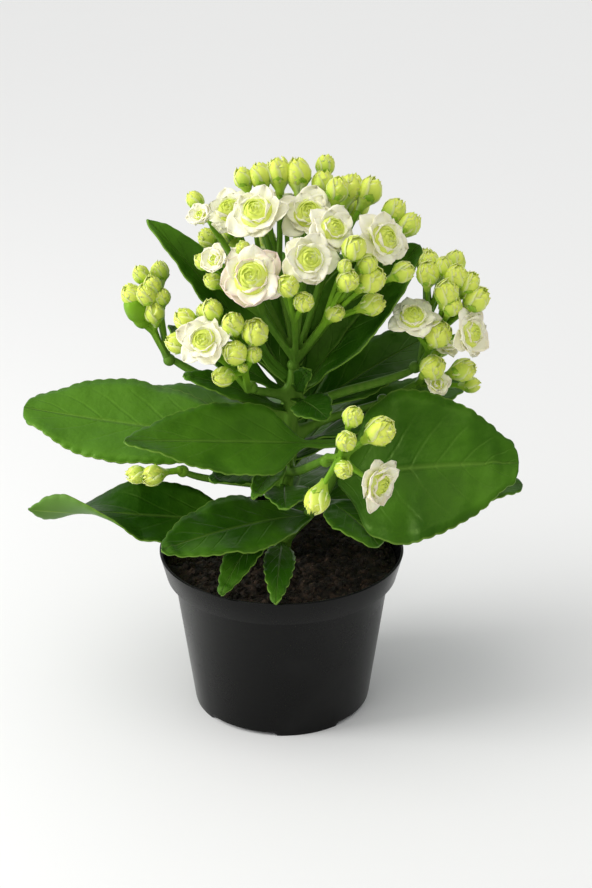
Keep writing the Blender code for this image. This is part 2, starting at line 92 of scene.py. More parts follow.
# stem and stalks: how much fuller the stem is, and how far from a bud a stalk stays pale
STEM_SWELL = 0.35 * MM
PALE_REACH = 22 * MM

# buds and flowers, as shares of the radius: how high a bud's petals rise, and how far open petals
# reach and where they spring from
PETAL_HEIGHT = 1.08
PETAL_GROWTH = 1.22
PETAL_ROOT = 0.14

# leaves: how deep a petiole sits in the stem, the rows and columns of a blade, and the shares of
# its length at which its tip closes and its twist begins
PETIOLE_SINK = 0.8 * MM
LEAF_STEP = 0.95 * MM
LEAF_COLUMNS = 10
TIP_START = 0.93
TWIST_START = 0.55

# stage
MIDDLE = (0, 0, 0.12)
FLOOR_REACH = 8.0
SKY_TINT = (0.97, 0.98, 1.0, 1)
SKY_STRENGTH = 0.68
# kind, name, place, colour and settings of each light
LIGHTS = (
    ("SUN", "key", (-0.42, -0.20, 1.0), (1.0, 0.985, 0.95), {"energy": 1.05, "angle": math.radians(58)}),
    ("AREA", "left_panel", (-0.85, -0.20, 0.40), (1.0, 1.0, 1.0), {"energy": 5.0, "size": 0.4}),
)
CAMERA_PLACE = (0.0062, -0.770, 0.461)
CAMERA_PITCH = math.radians(90 - 23.9)
CAMERA_LENS = 81.1
SENSOR_WIDTH = 36.0


# ---------- settings
def measure(name, description, millimetres):
    """Length property with its default."""
    return FloatProperty(name=name, description=description, default=millimetres * MM, unit="LENGTH")


class PlantSizes(bpy.types.PropertyGroup):
    """Sizes of the fine pieces"""

    leaf_thickness: measure("Leaf thickness", "Thickness of a leaf's blade", 1.3)
    tooth_pitch: measure("Tooth pitch", "Distance between the rounded teeth of a leaf's margin", 5.2)
    tooth_depth: measure("Tooth depth", "How far a leaf's teeth stand out", 0.75)
    petal_thickness: measure("Petal thickness", "Thickness of every petal", 0.28)
    bud_petals: IntProperty(name="Bud petals", description="Wide petals wound round a bud", default=7)
    crown_tips: IntProperty(name="Crown tips", description="Small petal tips on a bud's top", default=7)
    rosette_petals: IntProperty(
        name="Rosette petals", description="Upright petals in the eye of a flower", default=16
    )
    stalk_swell: measure("Stalk swell", "How much a stalk is fuller than the frame's", 0.55)
    knot_radius: measure("Knot radius", "Knot where a head's stalks meet the stem", 2.8)
    pot_steps: IntProperty(name="Pot steps", description="Steps round the pot", default=144)
    crumbs: IntProperty(name="Crumbs", description="Loose crumbs on the soil", default=1300)
    crumb_size: measure("Crumb size", "Radius of a usual crumb", 1.0)


def colour(name, description, default):
    """Colour property with its default."""
    return FloatVectorProperty(
        name=name, description=description, default=default, subtype="COLOR", size=3, min=0, max=1
    )


class PlantColours(bpy.types.PropertyGroup):
    """Colours of the finishes"""

    # leaf_dark and leaf_light are the ends of each blade's green; the leaf's tint, which picks between them,
    # is partly its own tone and partly painted light and shade
    leaf_dark: colour("Leaf, dark", "Deep green of a blade's upper side", (0.011, 0.056, 0.0015))
    leaf_light: colour("Leaf, light", "Fresh green of a blade's upper side", (0.058, 0.168, 0.008))
    leaf_under: colour("Leaf, underside", "Pale green of a blade's underside", (0.130, 0.235, 0.060))
    leaf_edge: colour("Leaf, edge", "Yellow-green of a blade's margin", (0.230, 0.360, 0.060))
    stem: colour("Stem", "Fresh green of stems and stalks", (0.032, 0.115, 0.006))
    bud_green: colour("Bud, green", "Sepals and the base of a bud", (0.220, 0.450, 0.014))
    bud_yellow: colour("Bud, yellow", "Petal tips of a bud", (0.720, 0.810, 0.110))
    petal_white: colour("Petal, white", "Open petals", (0.965, 0.945, 0.720))
    petal_lime: colour("Petal, lime", "Upright petals in a flower's eye", (0.680, 0.780, 0.110))
    petal_blush: colour("Petal, blush", "Faint pink on old petals", (0.860, 0.620, 0.560))
    pot: colour("Pot", "Black plastic", (0.0030, 0.0031, 0.0028))
    soil: colour("Soil", "Damp potting mix", (0.010, 0.008, 0.005))
    floor: colour("Floor", "Floor and backdrop", (0.84, 0.84, 0.83))


# ---------- shader maths
class Signal:
    """A shader socket in Python arithmetic: each operator adds its Math node"""

    def __init__(self, shader, socket):
        self.shader = shader
        self.socket = socket

    def math(self, operation, *others):
        """Math node of this signal and others."""
        return self.shader.math(operation, self, *others)

    def __add__(self, other):
        return self.math("ADD", other)

    def __sub__(self, other):
        return self.math("SUBTRACT", other)

    def __rsub__(self, other):
        return self.shader.math("SUBTRACT", other, self)

    def __mul__(self, other):
        return self.math("MULTIPLY", other)

    def __abs__(self):
        return self.math("ABSOLUTE")

    __radd__ = __add__
    __rmul__ = __mul__


class Shader:
    """A material, its Principled surface and the nodes that feed it"""

    def __init__(self, name, **constants):
        self.material = bpy.data.materials.new(name)
        self.material.use_nodes = True
        self.tree = self.material.node_tree
        self.surface = self.tree.nodes["Principled BSDF"]
        for socket, value in constants.items():
            self.surface.inputs[socket.replace("_", " ")].default_value = value

    def node(self, kind, settings=None, inputs=None, output=0):
        """Any node: its settings are set first, then the values and links of its sockets."""
        made = self.tree.nodes.new("ShaderNode" + kind)
        for name, value in (settings or {}).items():
            setattr(made, name, value)
        for name, value in (inputs or {}).items():
            self.feed(made.inputs[name], value)
        return Signal(self, made.outputs[output])

    def feed(self, socket, value):
        """Links a signal to a socket, or sets the socket's own value."""
        if isinstance(value, Signal):
            self.tree.links.new(value.socket, socket)
        else:
            socket.default_value = value

    def math(self, operation, *terms):
        """Math node of up to three signals or numbers."""
        return self.node("Math", {"operation": operation}, dict(enumerate(terms)))

    def place(self):
        """Where a point lies on the object."""
        return self.node("TexCoord", output="Object")

    def grain(self, scale, detail=3.0, stretch=None):
        """Noise from 0 to 1; stretch scales it along the axes."""
        where = self.place()
        if stretch:
            where = self.node("Mapping", None, {"Vector": where, "Scale": stretch})
        return self.node("TexNoise", None, {"Vector": where, "Scale": scale, "Detail": detail}, "Fac")

    def sheet_place(self):
        """Signals along a sheet, from 0 at its base to 1, and across it, from -1 to 1."""
        split = self.node("TexCoord", output="UV")
        along = self.node("SeparateXYZ", None, {0: split}, 0)
        across = self.node("SeparateXYZ", None, {0: split}, 1)
        return along, across * 2 - 1

    def tint(self):
        """The piece's own tint attribute."""
        return self.node("Attribute", {"attribute_name": "tint"}, None, "Fac")

    def between(self, signal, low, high, smooth=True):
        """Signal's way from low to high as 0 to 1."""
        kind = "SMOOTHSTEP" if smooth else "LINEAR"
        return self.node(
            "MapRange", {"interpolation_type": kind}, {"Value": signal, "From Min": low, "From Max": high}
        )

    def mix(self, factor, first, second):
        """Colour mix of two colours or colour signals."""
        ends = [end if isinstance(end, Signal) else (*end, 1.0) for end in (first, second)]
        return self.node("Mix", {"data_type": "RGBA"}, {0: factor, 6: ends[0], 7: ends[1]}, 2)

    def bump(self, height, depth, strength=1.0):
        """Feeds a Bump node to the surface's normal; depth is in metres."""
        normal = self.node("Bump", None, {"Height": height, "Distance": depth, "Strength": strength})
        self.feed(self.surface.inputs["Normal"], normal)

    def finish(self, base, roughness):
        """Feeds base colour and roughness, and returns the material."""
        self.feed(self.surface.inputs["Base Color"], base)
        self.feed(self.surface.inputs["Roughness"], roughness)
        return self.material


# ---------- finishes
def leaf_top(colours):
    """Glossy upper side of a blade, with a midrib and faint arching side veins."""
    shader = Shader("leaf_top", Specular_IOR_Level=0.5, Specular_Tint=GREEN_SHEEN)
    along, across = shader.sheet_place()
    side = abs(across)
    patches = shader.grain(45, 4)
    fine = shader.grain(420, 2)
    midrib = shader.between(side, 0.07, 0.0)
    wave = abs((along * 7 - side * 2.0 + patches * 0.5).math("FRACT") - 0.5)
    vein = shader.between(wave, 0.10, 0.0) * shader.between(side, 0.95, 0.35)
    # painted light and shade: the leaf's tint, high on leaves in the light and low on leaves in shade, moves
    # the blade from deep to fresh green, along with random patches of its own tone
    tone_and_shade = shader.between(patches + shader.tint() * 0.6, 0.38, 1.0)
    base = shader.mix(tone_and_shade, colours.leaf_dark, colours.leaf_light)
    base = shader.mix(midrib * 0.16 + vein * 0.03, base, colours.leaf_edge)
    base = shader.mix(shader.between(side, 0.97, 1.0) * 0.45, base, colours.leaf_edge)
    creases = shader.grain(120, 3)
    shader.bump(fine * 0.1 + patches * 2.0 + creases * 0.6 - midrib * 0.6 - vein * 0.16, 1.0 * MM, 0.8)
    return shader.finish(base, shader.between(patches + fine * 0.3, 0.2, 1.0, False) * 0.22 + 0.28)


def leaf_under(colours):
    """Matt, paler underside of a blade."""
    shader = Shader("leaf_under", Specular_IOR_Level=0.35, Specular_Tint=GREEN_SHEEN)
    along, across = shader.sheet_place()
    midrib = shader.between(abs(across), 0.09, 0.0)
    patches = shader.grain(60, 4)
    base = shader.mix(patches, colours.leaf_light, colours.leaf_under)
    base = shader.mix(midrib * 0.5 + 0.25 * shader.between(along, 0.3, 0.0), base, colours.leaf_edge)
    shader.bump(patches + midrib, 0.4 * MM, 0.4)
    return shader.finish(base, patches * 0.2 + 0.42)


def leaf_rim(colours):
    """Thin yellow-green margin of a blade."""
    shader = Shader("leaf_rim", Specular_IOR_Level=0.35, Specular_Tint=GREEN_SHEEN)
    patches = shader.grain(160, 3)
    base = shader.mix(patches * 0.5 + 0.35, colours.leaf_edge, colours.leaf_light)
    return shader.finish(base, patches * 0.2 + 0.4)


def stem_skin(colours):
    """Fresh green skin of stems and stalks, with long pale streaks."""
    shader = Shader("stem_skin", Specular_IOR_Level=0.4, Specular_Tint=GREEN_SHEEN)
    patches = shader.grain(90, 3)
    streaks = shader.grain(500, 2, (1, 1, 0.12))
    base = shader.mix(patches, colours.stem, colours.leaf_light)
    base = shader.mix(streaks * 0.45, base, colours.leaf_edge)
    base = shader.mix(shader.tint() * 0.8, base, colours.bud_green)
    shader.bump(streaks, 0.25 * MM, 0.4)
    return shader.finish(base, streaks * 0.15 + 0.36)


def bud_skin(colours):
    """Petals of a bud: green at the base, yellow to the tip, with a pale margin."""
    shader = Shader(
        "bud_skin", Specular_IOR_Level=0.35, Subsurface_Weight=0.25, Subsurface_Radius=(0.002, 0.0025, 0.0008)
    )
    along, across = shader.sheet_place()
    tint = shader.tint()
    patches = shader.grain(220, 3)
    ripe = shader.between(along * 0.55 + tint + patches * 0.25, 0.35, 1.25)
    base = shader.mix(ripe, colours.bud_green, colours.bud_yellow)
    edge = shader.between(abs(across), 0.62, 1.0) * shader.between(tint, 0.1, 0.4)
    base = shader.mix(edge * 0.40, base, colours.petal_white)
    veins = abs((across * 3.5).math("FRACT") - 0.5)
    shader.bump(veins * 0.4 + patches, 0.2 * MM, 0.35)
    return shader.finish(base, patches * 0.2 + 0.40)


def petal_skin(colours):
    """Petals of a flower: lime in the eye, white outside, with a faint blush on old tips."""
    shader = Shader(
        "petal_skin", Specular_IOR_Level=0.35, Subsurface_Weight=0.2, Subsurface_Radius=(0.002, 0.002, 0.0012)
    )
    along, across = shader.sheet_place()
    tint = shader.tint()
    blush = shader.node("Attribute", {"attribute_name": "blush"}, None, "Fac")
    patches = shader.grain(260, 3)
    open_part = shader.between(tint + along * 0.45 - (1 - tint) * 0.35, 0.35, 1.0)
    base = shader.mix(open_part, colours.petal_lime, colours.petal_white)
    rim = shader.between(abs(across), 0.55, 1.0) * (1 - tint) * 0.45
    base = shader.mix(rim, base, colours.petal_white)
    old = shader.between(abs(across) * 0.6 + along * 0.7 + patches * 0.3, 0.75, 1.4) * blush
    base = shader.mix(old, base, colours.petal_blush)
    veins = abs((across * 4.5).math("FRACT") - 0.5)
    shader.bump(veins * 0.5 + patches * 0.7, 0.2 * MM, 0.4)
    return shader.finish(base, patches * 0.15 + 0.45)


def pot_plastic(colours):
    """Satin black moulded plastic with a fine grain and dust in patches."""
    shader = Shader("pot_plastic", Specular_IOR_Level=0.12)
    dust = shader.grain(22, 5)
    fine = shader.grain(900, 2)
    lines = shader.grain(260, 2, (0.05, 0.05, 1))
    base = shader.mix(shader.between(dust, 0.50, 0.85) * 0.16, colours.pot, (0.060, 0.060, 0.058))
    shader.bump(fine * 0.5 + lines * 0.6 + dust * 0.4, 0.12 * MM, 0.4)
    return shader.finish(base, shader.between(dust + fine * 0.2, 0.3, 0.9) * 0.14 + 0.20)


def soil_mix(colours):
    """Dark crumbly potting mix with brown bits."""
    shader = Shader("soil_mix", Specular_IOR_Level=0.25)
    lumps = shader.grain(300, 5)
    bits = shader.grain(900, 2)
    base = shader.mix(shader.between(lumps, 0.4, 0.75), colours.soil, (0.050, 0.030, 0.018))
    base = shader.mix(shader.between(bits, 0.66, 0.74) * 0.6, base, (0.16, 0.10, 0.055))
    shader.bump(lumps + bits * 0.5, 0.8 * MM, 0.8)
    return shader.finish(base, lumps * 0.15 + 0.8)


# ---------- measuring
def merged(node):
    """Bmesh copy of a frame node with its corners joined."""
    bm = bmesh.new()
    bm.from_mesh(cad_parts[node].data)
    bmesh.ops.remove_doubles(bm, verts=bm.verts[:], dist=0.01 * MM)
    return bm


def mean(points):
    """Middle of some points."""
    return sum(points, Vector()) / len(points)


def circle_of(points):
    """Centre and radius of the circle through points that lie on one."""
    centre = mean(points)
    places = np.array([point - centre for point in points])
    _, _, turns = np.linalg.svd(places)
    flat = turns[:2]
    spots = places @ flat.T
    rows = np.c_[2 * spots, np.ones(len(spots))]
    x, y, _ = np.linalg.lstsq(rows, (spots ** 2).sum(1), rcond=None)[0]
    shift = Vector(flat.T @ (x, y))
    return centre + shift, (points[0] - centre - shift).length


def poles(bm, height_share, smallest):
    """Tips of the round caps in a mesh, as (tip, ring's centre, ring's radius).

    A cap is a fan whose outer corners are as far from the tip as each other, and height_share is
    the tip's height over their ring as a share of that distance."""
    found = []
    for vert in bm.verts:
        reaches = sorted((edge.calc_length(), edge.other_vert(vert).co) for edge in vert.link_edges)
        longest = reaches[-1][0]
        if len(reaches) < 6 or longest < smallest:
            continue
        for reach, _ in reaches[::-1]:
            ring = [co for length, co in reaches if abs(length - reach) < 0.012 * reach]
            if len(ring) < 4 or reach < smallest:
                continue
            centre, radius = circle_of(ring)
            height = (vert.co - centre).length
            if abs(height / reach - height_share) < 0.03 and height > 0:
                found.append((vert.co.copy(), centre, radius))
                break
    return found


def buds_of(node):
    """Every bud of a head as (centre, axis, radius)."""
    bm = merged(node)
    cap = (1 - BUD_RING) * BUD_LENGTH
    share = cap / math.hypot(cap, BUD_RING)
    found = []
    for tip, ring, ring_radius in poles(bm, share, 1.3 * MM):
        radius = ring_radius / BUD_RING
        axis = (tip - ring).normalized()
        centre = tip - axis * radius * BUD_LENGTH
        if all((centre - other).length > 0.5 * radius for other, _, _ in found):
            found.append((centre, axis, radius))
    bm.free()
    return found


def bloom_of(node):
    """Eye, facing axis and petal radius of a flower."""
    bm = merged(node)
    fans = [vert for vert in bm.verts if len(vert.link_edges) == 10]
    spreads = {}
    for vert in fans:
        reaches = [edge.calc_length() for edge in vert.link_edges]
        spreads[vert] = max(reaches) - min(reaches)
    top = min(spreads, key=spreads.get)
    ring = mean([edge.other_vert(top).co for edge in top.link_edges])
    axis = (top.co - ring).normalized()
    radius = (top.link_edges[0].other_vert(top).co - ring).length / EYE_RING
    eye = top.co - axis * EYE_DEPTH
    bm.free()
    return eye, axis, radius


def nodes_of(kind):
    """Names of the frame's nodes that start with a kind, in order."""
    return sorted(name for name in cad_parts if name.startswith(kind))


def surface_of(node):
    """Search tree of a frame node."""
    bm = merged(node)
    tree = BVHTree.FromBMesh(bm)
    bm.free()
    return tree


class Midline:
    """A leaf of the frame, read from its base to its tip: middle, half width and lift at each share"""

    def __init__(self, node, tree, stations=18):
        bm = merged(node)
        points = [vert.co.copy() for vert in bm.verts]
        near = min(points, key=lambda point: tree.find_nearest(point)[3])
        far = max(points, key=lambda point: (point - near).length)
        ordered = sorted(points, key=lambda point: (point - near).dot(far - near))
        base = mean(ordered[:6])
        tip = mean(ordered[-6:])
        chord = tip - base
        along = chord.normalized()
        edges = [(edge.verts[0].co.copy(), edge.verts[1].co.copy()) for edge in bm.edges]
        bm.free()
        self.shares = [1 - (1 - i / (stations - 1)) ** 1.4 for i in range(stations)]
        self.middles = []
        self.halves = []
        self.lifts = []
        across = None
        for share in self.shares:
            level = chord.length * min(max(share, 0.012), 0.985)
            cut = []
            for a, b in edges:
                low = (a - base).dot(along) - level
                high = (b - base).dot(along) - level
                if low * high < 0:
                    cut.append(a.lerp(b, low / (low - high)))
            if across is None:
                ends = max(((p, q) for p in cut for q in cut), key=lambda pair: (pair[0] - pair[1]).length)
                across = (ends[1] - ends[0]).normalized()
            for _ in range(3):
                places = [point.dot(across) for point in cut]
                low, high = min(places), max(places)
                width = high - low
                left = mean([p for p, place in zip(cut, places) if place < low + 0.06 * width])
                right = mean([p for p, place in zip(cut, places) if place > high - 0.06 * width])
                across = (right - left).normalized()
            centre = left.lerp(right, 0.5)
            inner = sorted(cut, key=lambda point: abs((point - centre).dot(across)))[:2]
            middle = mean(inner)
            self.middles.append(middle)
            self.halves.append((right - left) / 2)
            self.lifts.append(centre - middle)
        skin = tree.find_nearest(base)[0]
        self.middles[0] = skin + (skin - base).normalized() * PETIOLE_SINK
        self.middles[-1] = tip
        ups = [half.cross(along).normalized() for half in self.halves]
        if sum(lift.dot(up) for lift, up in zip(self.lifts, ups)) < 0:
            self.halves = [-half for half in self.halves]
        self.length = chord.length

    def sample(self, shares):
        """Smooth rows of middle, half width and lift at the shares asked for, as arrays."""
        return [smooth_rows(self.shares, rows, shares) for rows in (self.middles, self.halves, self.lifts)]


def smooth_rows(knots, rows, shares):
    """Catmull-Rom curve through rows at knots, read at shares."""
    knots = np.array(knots)
    rows = np.array([tuple(row) for row in rows])
    slopes = np.gradient(rows, knots, axis=0)
    place = np.clip(np.searchsorted(knots, shares, "right") - 1, 0, len(knots) - 2)
    span = knots[place + 1] - knots[place]
    t = ((np.array(shares) - knots[place]) / span)[:, None]
    span = span[:, None]
    return (
        (2 * t ** 3 - 3 * t ** 2 + 1) * rows[place] + (t ** 3 - 2 * t ** 2 + t) * span * slopes[place]
        + (3 * t ** 2 - 2 * t ** 3) * rows[place + 1] + (t ** 3 - t ** 2) * span * slopes[place + 1]
    )


# ---------- modelling
def new_sheets():
    """Bmesh for sheets, with their map and tints."""
    bm = bmesh.new()
    bm.loops.layers.uv.new("UVMap")
    bm.verts.layers.float.new("tint")
    bm.verts.layers.float.new("blush")
    return bm


def sheet(bm, rows, columns, place, tint=0.0, blush=0.0):
    """Grid whose corners lie where place(along, across) says; along is 0 to 1 and across -1 to 1."""
    made = bmesh.ops.create_grid(bm, x_segments=rows, y_segments=columns, size=0.5, calc_uvs=True)["verts"]
    tints = bm.verts.layers.float["tint"]
    blushes = bm.verts.layers.float["blush"]
    for vert in made:
        vert[tints] = tint
        vert[blushes] = blush
        vert.co = place(vert.co.x + 0.5, 2 * vert.co.y)


def facing(point, axis, spin=0.0):
    """Matrix that turns +Z to an axis and moves the origin to a point."""
    turn = axis.to_track_quat("Z", "Y") @ Quaternion((0, 0, 1), spin)
    return Matrix.Translation(point) @ turn.to_matrix().to_4x4()


def linked(name, bm):
    """Object of a bmesh, linked to the scene."""
    mesh = bpy.data.meshes.new(name)
    bm.to_mesh(mesh)
    bm.free()
    made = bpy.data.objects.new(name, mesh)
    bpy.context.scene.collection.objects.link(made)
    return made


def add_piece(name, bm, materials, nodes):
    """Object of a bmesh that rides on the plant and stands for nodes of the frame."""
    piece = linked(name, bm)
    for finish in materials:
        piece.data.materials.append(finish)
    piece.data.shade_smooth()
    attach(piece, "root")
    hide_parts(*nodes)
    return piece


def thicken(piece, thickness, under=0, rim=0, weights=()):
    """Solidify modifier that closes a sheet; weights, one for each corner, thin it."""
    modifier = piece.modifiers.new("thickness", "SOLIDIFY")
    modifier.thickness = thickness
    modifier.offset = 0.0
    modifier.material_offset = under
    modifier.material_offset_rim = rim
    if weights:
        group = piece.vertex_groups.new(name="body")
        for index, weight in enumerate(weights):
            group.add([index], weight, "REPLACE")
        modifier.vertex_group = group.name


def round_off(piece, levels):
    """Subdivision Surface modifier with the same levels everywhere."""
    modifier = piece.modifiers.new("round", "SUBSURF")
    modifier.levels = levels
    modifier.render_levels = levels


def polar(azimuth, radius, height):
    """Point from an azimuth in radians, a radius and a height."""
    return Vector((radius * math.cos(azimuth), radius * math.sin(azimuth), height))


# ---------- pot and soil
def half_outline(node):
    """Outline of a turned node on its +X side, as a bmesh of edges."""
    bm = merged(node)
    for normal, both in (((0, 1, 0), True), ((1, 0, 0), False)):
        geom = bm.verts[:] + bm.edges[:] + bm.faces[:]
        bmesh.ops.bisect_plane(
            bm, geom=geom, dist=0.002 * MM, plane_co=(0, 0, 0), plane_no=normal,
            clear_inner=True, clear_outer=both,
        )
    if bm.faces:
        bmesh.ops.delete(bm, geom=bm.faces[:], context="FACES_ONLY")
    return bm


def turn_round(bm, steps):
    """Spins an outline about Z and closes it."""
    bmesh.ops.spin(
        bm, geom=bm.verts[:] + bm.edges[:], axis=(0, 0, 1), cent=(0, 0, 0), angle=math.tau, steps=steps,
        use_merge=True, use_duplicate=False,
    )
    bmesh.ops.remove_doubles(bm, verts=bm.verts[:], dist=0.01 * MM)
    bmesh.ops.recalc_face_normals(bm, faces=bm.faces[:])


def raise_notches(bm):
    """Lifts the foot where the frame's pot has a notch."""
    tree = surface_of("pot")
    rings = sorted({round(vert.co.xy.length, 4) for vert in bm.verts if vert.co.z < 0.2 * MM})
    outer = rings[-1]
    inner = min(ring for ring in rings if ring > 0.7 * outer)
    probe = 0.5 * (outer + inner)
    geom = bm.verts[:] + bm.edges[:] + bm.faces[:]
    bmesh.ops.bisect_plane(bm, geom=geom, dist=0.002 * MM, plane_co=(0, 0, FOOT_HEIGHT), plane_no=(0, 0, 1))
    for vert in bm.verts:
        radius = vert.co.xy.length
        if vert.co.z > NOTCH_HEIGHT or radius < inner - 1 * MM:
            continue
        under = vert.co.xy.normalized() * probe
        hit = tree.ray_cast(Vector((under.x, under.y, -0.01)), Vector((0, 0, 1)))[0]
        if hit:
            vert.co.z = max(vert.co.z, hit.z)


def drain_holes():
    """Centre and radius of each hole in the pot's floor, found with rays from below."""
    bm = merged("pot")
    tree = BVHTree.FromBMesh(bm)
    reach = 0.9 * min(vert.co.xy.length for vert in bm.verts if vert.co.z > 5 * MM)
    bm.free()
    count = round(reach / HOLE_STEP)
    holes = []
    for i in range(-count, count + 1):
        for j in range(-count, count + 1):
            spot = Vector((i * HOLE_STEP, j * HOLE_STEP, -0.01))
            if spot.xy.length > reach or tree.ray_cast(spot, Vector((0, 0, 1)))[0]:
                continue
            for hole in holes:
                if (hole[0] - spot).length < HOLE_SPACING:
                    hole.append(spot)
                    break
            else:
                holes.append([spot])
    return [(mean(hole), HOLE_STEP * math.sqrt(len(hole) / math.pi)) for hole in holes]


def cut_drains(pot):
    """Cuts the drain holes into the pot and takes the cutter away."""
    bm = bmesh.new()
    for centre, radius in drain_holes():
        bmesh.ops.create_cone(
            bm, cap_ends=True, segments=24, radius1=radius, radius2=radius, depth=30 * MM,
            matrix=Matrix.Translation((centre.x, centre.y, 0)),
        )
    cutter = linked("drains", bm)
    cut = pot.modifiers.new("drains", "BOOLEAN")
    cut.object = cutter
    view = bpy.context.evaluated_depsgraph_get()
    whole = bpy.data.meshes.new_from_object(pot.evaluated_get(view))
    pot.modifiers.clear()
    pot.data = whole
    bpy.data.objects.remove(cutter)


def make_pot(scene):
    """Round nursery pot turned from the frame's outline, with its notched foot and drain holes."""
    bm = half_outline("pot")
    turn_round(bm, scene.plant_sizes.pot_steps)
    raise_notches(bm)
    pot = add_piece("pot_body", bm, [pot_plastic(scene.plant_colours)], ["pot"])
    cut_drains(pot)
    bevel = pot.modifiers.new("rounded_edges", "BEVEL")
    bevel.width = EDGE_ROUNDING
    bevel.segments = 2
    bevel.limit_method = "ANGLE"
    bevel.angle_limit = EDGE_ANGLE
    pot.data.set_sharp_from_angle(angle=SHARP_ANGLE)


def crumb_spot(rng, radius, tree):
    """Random spot on the soil inside a radius, with the soil's height there."""
    angle = rng.uniform(0, math.tau)
    flat = polar(angle, radius * math.sqrt(rng.random()), 0)
    return tree.ray_cast(Vector((flat.x, flat.y, 1)), Vector((0, 0, -1)))[0]


def make_soil(scene):
    """Potting mix: a lumpy body with loose crumbs and fibres on it."""
    sizes = scene.plant_sizes
    rng = random.Random("soil")
    bm = half_outline("soil")
    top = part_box("soil")[1].z
    level = [edge for edge in bm.edges if min(vert.co.z for vert in edge.verts) > top - 2.2 * MM]
    bmesh.ops.subdivide_edges(bm, edges=level, cuts=14)
    turn_round(bm, SOIL_STEPS)
    shore = max(vert.co.xy.length for vert in bm.verts if vert.co.z > top - SOIL_TOP)
    for vert in bm.verts:
        if vert.co.z > top - SOIL_TOP and vert.co.xy.length < shore - 0.5 * MM:
            vert.co.z += LUMP_HEIGHT * noise.fractal(vert.co * LUMP_SCALE, 1.0, 2.0, 4)
    tree = BVHTree.FromBMesh(bm)
    for _ in range(sizes.crumbs):
        spot = crumb_spot(rng, shore - 1.5 * MM, tree)
        size = sizes.crumb_size * rng.uniform(0.45, 1.7) ** 1.3
        turn = Quaternion(Vector((rng.gauss(0, 1), rng.gauss(0, 1), rng.gauss(0, 1))), rng.uniform(0, 3))
        stretch = Matrix.Diagonal((rng.uniform(0.6, 1.5), rng.uniform(0.6, 1.2), rng.uniform(0.5, 1), 1))
        place = Matrix.Translation(spot) @ turn.to_matrix().to_4x4() @ stretch
        bmesh.ops.create_icosphere(bm, subdivisions=1, radius=size, matrix=place)
    for _ in range(sizes.crumbs // 8):
        spot = crumb_spot(rng, shore - 6 * MM, tree)
        lean = Vector((rng.gauss(0, 1), rng.gauss(0, 1), rng.uniform(0, 0.35))).normalized()
        bmesh.ops.create_cone(
            bm, cap_ends=True, segments=4, radius1=0.28 * MM, radius2=0.12 * MM,
            depth=rng.uniform(4, 11) * MM, matrix=facing(spot + Vector((0, 0, 0.6 * MM)), lean),
        )
    soil = add_piece("soil_body", bm, [soil_mix(scene.plant_colours)], ["soil"])
    soil.data.shade_flat()


# ---------- stem and stalks
def pair_up(bm):
    """Joins triangles to four-sided faces where they make one."""
    bmesh.ops.join_triangles(
        bm, faces=bm.faces[:], angle_face_threshold=math.radians(35), angle_shape_threshold=math.radians(160)
    )


def swell(bm, amount):
    """Moves every corner outwards."""
    bm.normal_update()
    shifts = [vert.normal * amount for vert in bm.verts]
    for vert, shift in zip(bm.verts, shifts):
        vert.co += shift


def make_stem(scene):
    """Trunk and branches, rounded off and lightly ribbed."""
    bm = merged("stem")
    pair_up(bm)
    swell(bm, STEM_SWELL)
    stem = add_piece("stem_body", bm, [stem_skin(scene.plant_colours)], ["stem"])
    round_off(stem, 2)


def in_bud(point, bud, share):
    """Whether a point lies in a bud's outline, grown by a share."""
    centre, axis, radius = bud
    out = point - centre
    rise = out.dot(axis)
    flat = (out - axis * rise).length
    return (flat / radius) ** 2 + (rise / (BUD_LENGTH * radius)) ** 2 < share ** 2


def make_stalks(name, node, buds, tree, sizes, skin):
    """Stalks of a head, with its buds taken off, their ends closed and a knot where they meet the stem."""
    bm = merged(node)
    caps = [
        face for face in bm.faces
        if any(all(in_bud(vert.co, bud, 1.03) for vert in face.verts) for bud in buds)
    ]
    bmesh.ops.delete(bm, geom=caps, context="FACES")
    bmesh.ops.holes_fill(bm, edges=[edge for edge in bm.edges if edge.is_boundary], sides=0)
    bmesh.ops.triangulate(bm, faces=[face for face in bm.faces if len(face.verts) > 4])
    pair_up(bm)
    swell(bm, sizes.stalk_swell)
    foot = min((vert.co for vert in bm.verts), key=lambda place: tree.find_nearest(place)[3])
    knot = foot.lerp(tree.find_nearest(foot)[0], 0.5)
    bmesh.ops.create_icosphere(bm, subdivisions=2, radius=sizes.knot_radius, matrix=Matrix.Translation(knot))
    tints = bm.verts.layers.float.new("tint")
    for vert in bm.verts:
        near = min((centre - vert.co).length for centre, _, _ in buds)
        vert[tints] = max(0, 1 - near / PALE_REACH)
    stalks = add_piece(name, bm, [skin], [node])
    round_off(stalks, 2)


# ---------- buds
def bud_petal(bud, spin, turn, top, spread, flare, lean, low=-62):
    """Place of a petal that hugs a bud from an elevation low to an elevation top."""
    centre, axis, radius = bud
    matrix = facing(centre, axis, spin)

    def place(along, across):
        elevation = math.radians(low + (top - low) * along)
        half = spread * math.sin(math.pi * (0.16 + 0.84 * along)) ** 0.65
        out = 1.0 + flare * along ** 3 + lean * across + 0.03 * math.sin(7 * across + 5 * along + turn)
        azimuth = turn + half * across
        flat = radius * out * math.cos(elevation)
        return matrix @ polar(azimuth, flat, radius * PETAL_HEIGHT * out * math.sin(elevation))

    return place


def turned(bm, matrix, outline, radius, rows, columns, tint):
    """Sheet turned about +Z: the outline's points are shares of a radius."""
    knots = np.linspace(0, 1, len(outline))

    def place(along, across):
        flat, rise = (np.interp(along, knots, column) for column in zip(*outline))
        return matrix @ polar(math.pi * across, flat * radius, rise * radius)

    sheet(bm, rows, columns, place, tint)


BUD_OUTLINE = (
    (0.30, -1.80), (0.36, -1.40), (0.56, -1.04), (0.80, -0.68), (0.95, -0.15), (0.95, 0.26), (0.82, 0.62),
    (0.48, 0.90), (0.01, 1.00),
)


